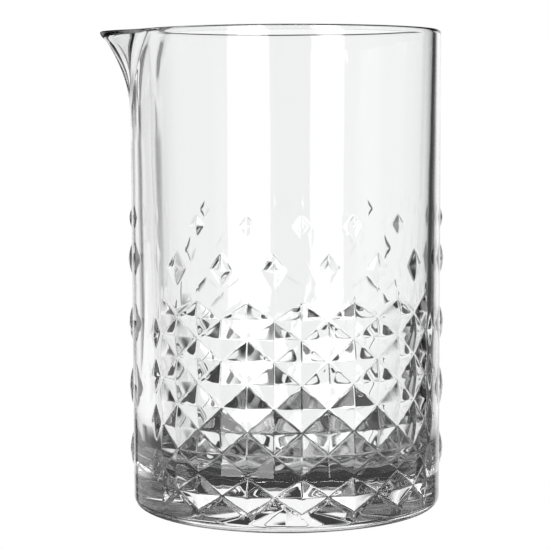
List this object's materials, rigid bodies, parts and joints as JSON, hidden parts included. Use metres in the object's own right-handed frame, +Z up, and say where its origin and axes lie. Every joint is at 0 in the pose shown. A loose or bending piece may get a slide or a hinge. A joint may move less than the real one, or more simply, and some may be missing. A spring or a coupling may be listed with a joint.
{
  "type": "mixing glass",
  "caption": "Straight-sided clear glass bar mixing vessel with a pouring spout and a band of raised diamonds round its lower wall.",
  "frame": {"origin": "centre of the resting face, on the axis of the glass", "axes": "+Z up along the axis of the glass; the spout points along -X; -Y is the front"},
  "size_m": [0.1101, 0.1007, 0.152],
  "materials": {
    "clear_glass": "clear fire-polished pressed glass, colourless, smooth above and faceted below"
  },
  "bodies": {
    "root": {"mixing_glass": "clear_glass"}
  },
  "joints": []
}
